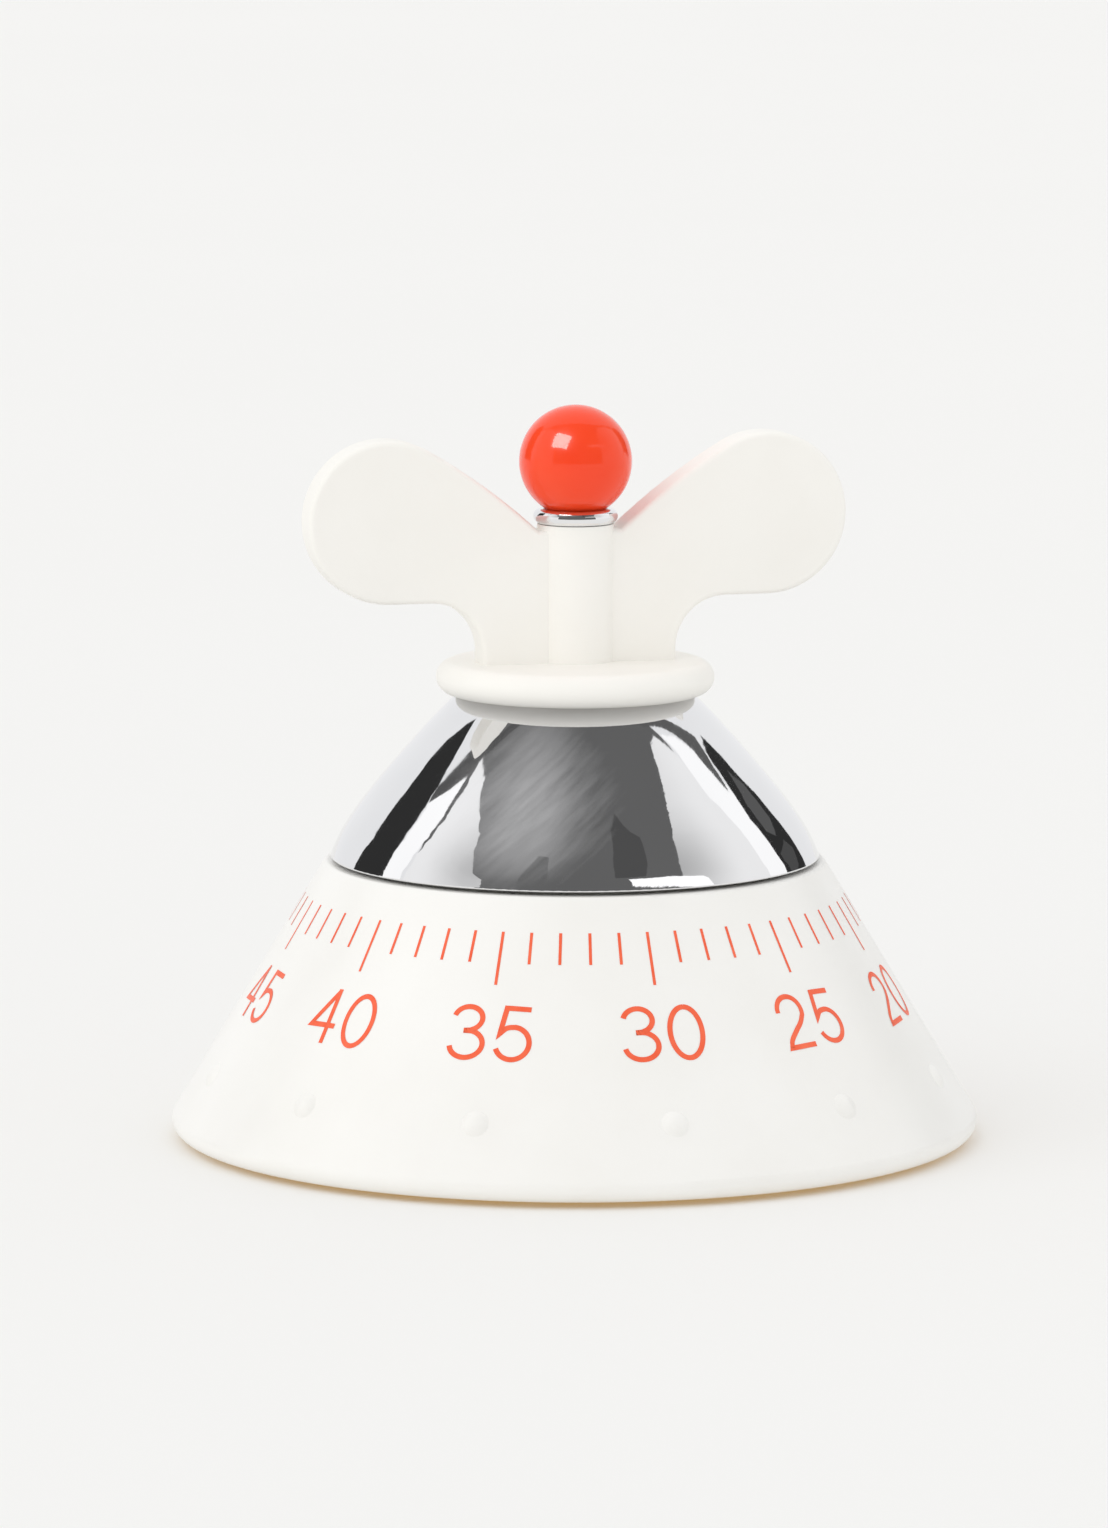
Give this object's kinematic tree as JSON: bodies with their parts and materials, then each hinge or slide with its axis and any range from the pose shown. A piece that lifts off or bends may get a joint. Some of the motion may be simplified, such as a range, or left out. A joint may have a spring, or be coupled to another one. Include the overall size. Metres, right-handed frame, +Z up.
{
  "type": "kitchen timer",
  "caption": "Wind-up kitchen timer: white cone with a minute scale, polished metal dome that turns, wing handle and red ball, over a clockwork movement and bell.",
  "frame": {"origin": "centre of the footprint, on the surface that the feet stand on", "axes": "+Z up along the line that the handle turns about; the zero of the scale lies at +Y and the wings of the handle lie along X at rest"},
  "size_m": [0.1098, 0.1098, 0.1],
  "materials": {
    "shell_white": "moulded plastic, satin gloss, fine moulding texture",
    "handle_white": "moulded plastic, satin gloss",
    "polished_metal": "pressed steel, polished to a mirror with light hairline scratches",
    "ball_red": "moulded plastic, high gloss",
    "scale_orange": "orange-red plastic and printing ink",
    "carrier_grey": "moulded plastic",
    "nylon": "nylon",
    "rubber": "moulded rubber, matt",
    "zinc_steel": "zinc-plated steel",
    "plate_brass": "stamped brass",
    "spring_steel": "blued spring steel",
    "bell_steel": "nickel-plated steel"
  },
  "bodies": {
    "base": {"base_shell": "shell_white", "base_plate": "shell_white", "rubber_feet": "rubber", "base_screws": "zinc_steel", "glide_ring": "nylon", "bottom_plate": "plate_brass", "top_plate": "plate_brass", "plate_pillars": "plate_brass", "pillar_screws": "zinc_steel", "movement_screws": "zinc_steel", "arbor_bush": "plate_brass", "spring_housing": "zinc_steel", "mainspring": "spring_steel", "hammer_spring": "spring_steel", "bell": "bell_steel", "bell_post": "zinc_steel", "bell_screw": "zinc_steel"},
    "crown": {"dome_cap": "polished_metal", "index_pip": "scale_orange", "crown_carrier": "carrier_grey", "hub_insert": "plate_brass", "handle_disc": "handle_white", "wing_handle": "handle_white", "collar_ring": "polished_metal", "ball_knob": "ball_red", "knob_stud": "zinc_steel", "main_arbor": "zinc_steel", "ratchet_wheel": "zinc_steel", "trip_cam": "plate_brass"},
    "great": {"great_wheel": "plate_brass", "click_pin": "zinc_steel", "click_spring": "spring_steel"},
    "click": {"click_pawl": "zinc_steel"},
    "second": {"second_arbor": "zinc_steel", "second_wheel": "plate_brass"},
    "third": {"third_arbor": "zinc_steel", "third_wheel": "plate_brass"},
    "escape": {"escape_arbor": "zinc_steel", "escape_wheel": "plate_brass"},
    "balance": {"pallet_staff": "zinc_steel", "pallet_anchor": "plate_brass", "pallet_pins": "zinc_steel", "balance_ring": "plate_brass"},
    "hammer": {"hammer_arbor": "zinc_steel", "hammer_tail": "zinc_steel", "hammer_arm": "zinc_steel", "hammer_head": "zinc_steel"}
  },
  "joints": [
    {"name": "handle_turn", "type": "hinge", "parent": "base", "child": "crown", "pos_m": [0, 0, 0.0385], "axis": [0, 0, -1], "range_deg": [0, 350]},
    {"name": "great_wheel_turn", "type": "hinge", "parent": "base", "child": "great", "pos_m": [0, 0, 0.0245], "axis": [0, 0, -1], "range_deg": [0, 350]},
    {"name": "click_lift", "type": "hinge", "parent": "great", "child": "click", "pos_m": [0.00146, -0.0104, 0.0231], "axis": [0, 0, 1], "range_deg": [0, 14], "stiffness_Nm_per_rad": 0.0002, "springref_deg": -5.73},
    {"name": "second_wheel_turn", "type": "hinge", "parent": "base", "child": "second", "pos_m": [-0.0175, 0, 0.0225], "axis": [0, 0, -1], "continuous": true},
    {"name": "third_wheel_turn", "type": "hinge", "parent": "base", "child": "third", "pos_m": [-0.01356, 0.01091, 0.0225], "axis": [0, 0, -1], "continuous": true},
    {"name": "escape_wheel_turn", "type": "hinge", "parent": "base", "child": "escape", "pos_m": [-0.00663, 0.01971, 0.0225], "axis": [0, 0, -1], "continuous": true},
    {"name": "balance_swing", "type": "hinge", "parent": "base", "child": "balance", "pos_m": [0.00352, 0.02101, 0.0225], "axis": [0, 0, 1], "range_deg": [-4, 4]},
    {"name": "hammer_swing", "type": "hinge", "parent": "base", "child": "hammer", "pos_m": [0.00686, -0.0256, 0.02], "axis": [0, 0, -1], "range_deg": [0, 6], "stiffness_Nm_per_rad": 0.002, "springref_deg": -5.73}
  ],
  "couplings": [
    {"joint": "great_wheel_turn", "follows": "handle_turn", "ratio": 1},
    {"joint": "second_wheel_turn", "follows": "handle_turn", "ratio": -6},
    {"joint": "third_wheel_turn", "follows": "handle_turn", "ratio": 37.5},
    {"joint": "escape_wheel_turn", "follows": "handle_turn", "ratio": -225}
  ]
}
